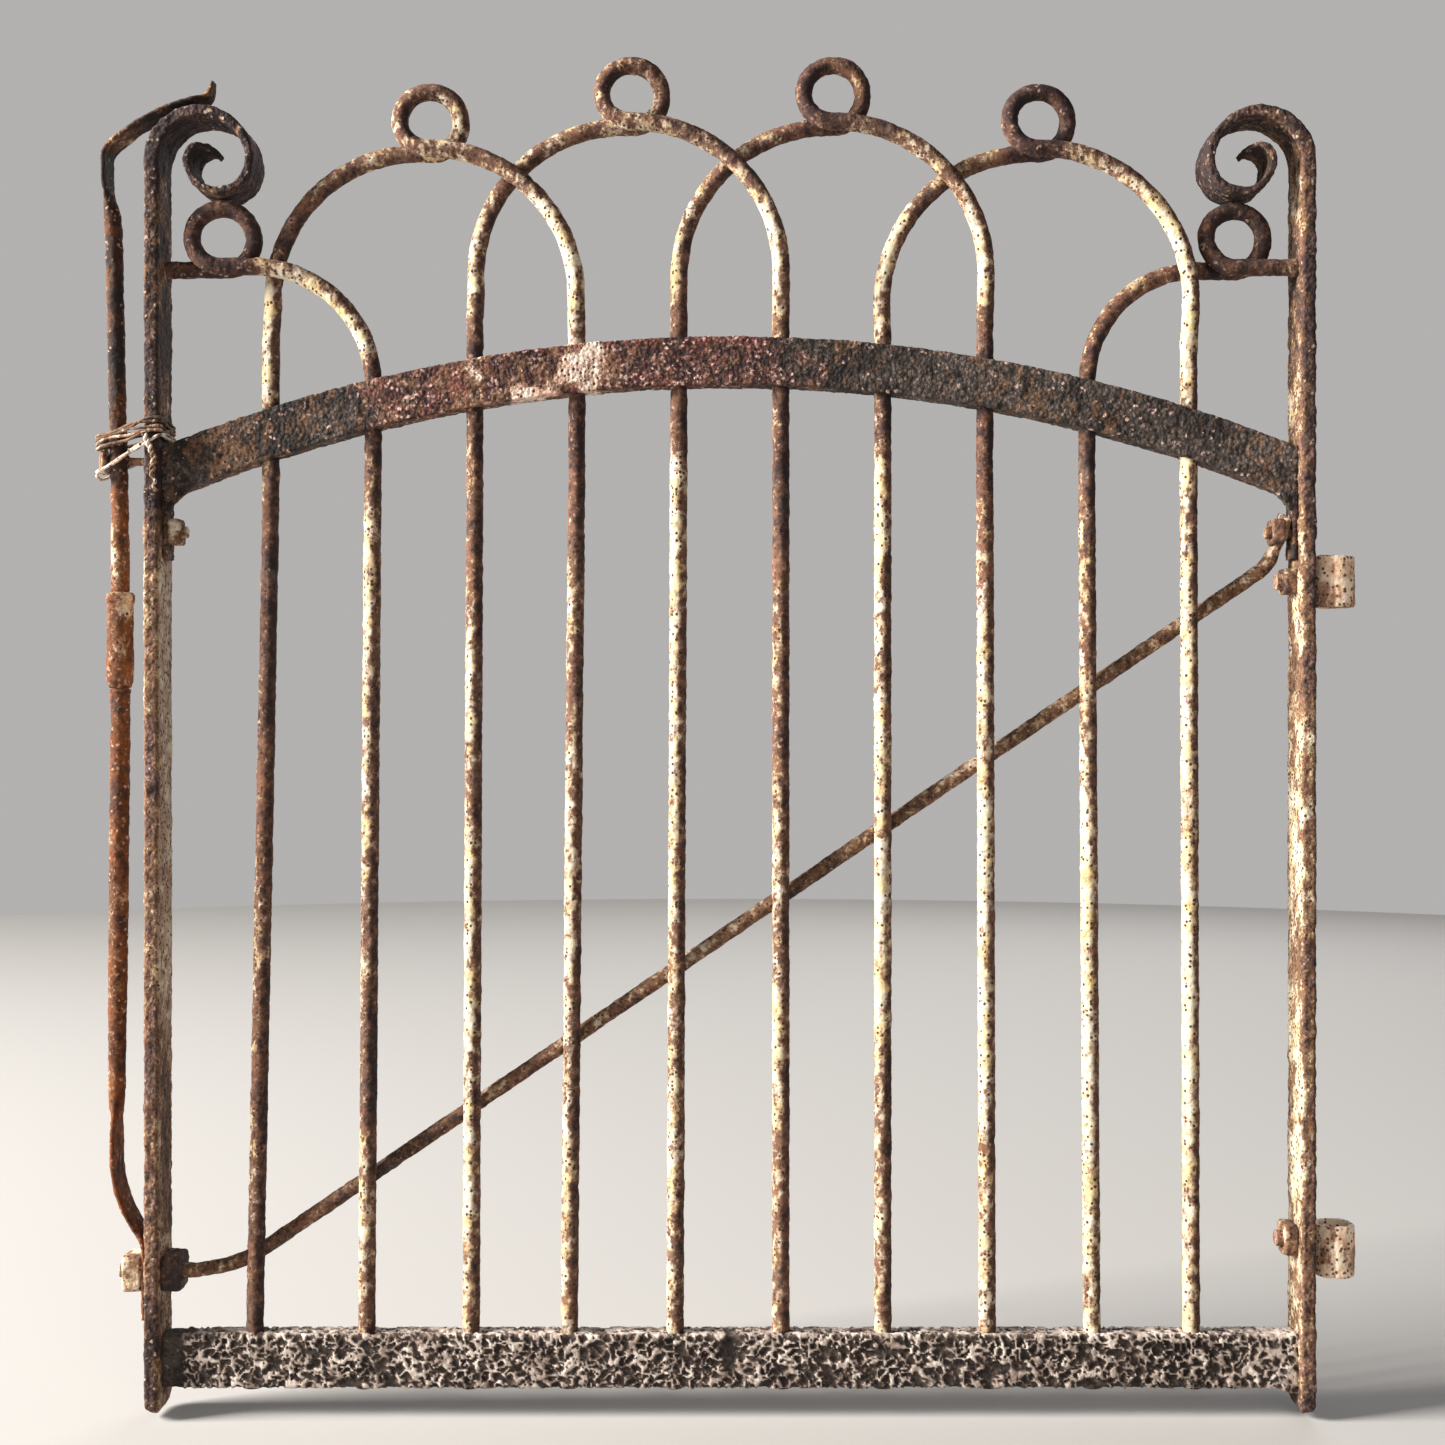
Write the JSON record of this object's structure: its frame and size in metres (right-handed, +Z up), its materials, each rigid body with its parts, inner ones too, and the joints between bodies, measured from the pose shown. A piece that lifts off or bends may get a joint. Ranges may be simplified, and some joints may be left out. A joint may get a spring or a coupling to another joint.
{
  "type": "garden gate",
  "caption": "Wrought-iron garden gate: hairpin pickets with looped crowns between scrolled stiles, arched top rail, tension rod, eye hinges and a sprung side latch.",
  "frame": {"origin": "centre of the lower hinge eye's bore, on the hinge axis", "axes": "+Z up along the hinge axis, -X from the hinges towards the latch, -Y out of the front face"},
  "size_m": [0.9388, 0.0469, 1.0121],
  "materials": {
    "painted_rod": "flaking cream paint over brown rust",
    "stile_iron": "dark rust with worn cream paint",
    "rail_iron": "pebbled red-purple rust",
    "pitted_rail": "deeply pitted grey-brown scale",
    "brace_iron": "grey-brown rust",
    "fastener_iron": "pale crusted rust",
    "hinge_iron": "cream paint over grey-brown rust",
    "latch_iron": "orange rust with cream paint",
    "binding_wire": "weathered galvanised wire"
  },
  "bodies": {
    "gate": {"hairpin_1": "painted_rod", "hairpin_2": "painted_rod", "hairpin_3": "painted_rod", "hairpin_4": "painted_rod", "half_hairpin_left": "painted_rod", "half_hairpin_right": "painted_rod", "latch_stile": "stile_iron", "hinge_stile": "stile_iron", "top_rail": "rail_iron", "bottom_rail": "pitted_rail", "brace_rod": "brace_iron", "brace_inner_nut": "fastener_iron", "brace_outer_nut": "fastener_iron", "rail_bolt_left": "fastener_iron", "rail_bolt_right": "fastener_iron", "rail_nut_left": "fastener_iron", "rail_nut_right": "fastener_iron", "upper_hinge_eye": "hinge_iron", "upper_hinge_nut": "fastener_iron", "lower_hinge_eye": "hinge_iron", "lower_hinge_nut": "fastener_iron", "latch_guide_pin": "fastener_iron", "tie_wire": "binding_wire", "latch_spring_foot": "latch_iron"},
    "latch": {"latch_bar": "latch_iron"},
    "roller": {"latch_roller": "latch_iron"}
  },
  "joints": [
    {"name": "latch_flex", "type": "hinge", "parent": "gate", "child": "latch", "pos_m": [-0.909, 0, 0.05], "axis": [0, 1, 0], "range_deg": [0, 0.8], "stiffness_Nm_per_rad": 100, "springref_deg": -1.15},
    {"name": "roller_spin", "type": "hinge", "parent": "latch", "child": "roller", "pos_m": [-0.9067, 0, 0.4545], "axis": [0, 0, 1], "continuous": true}
  ]
}
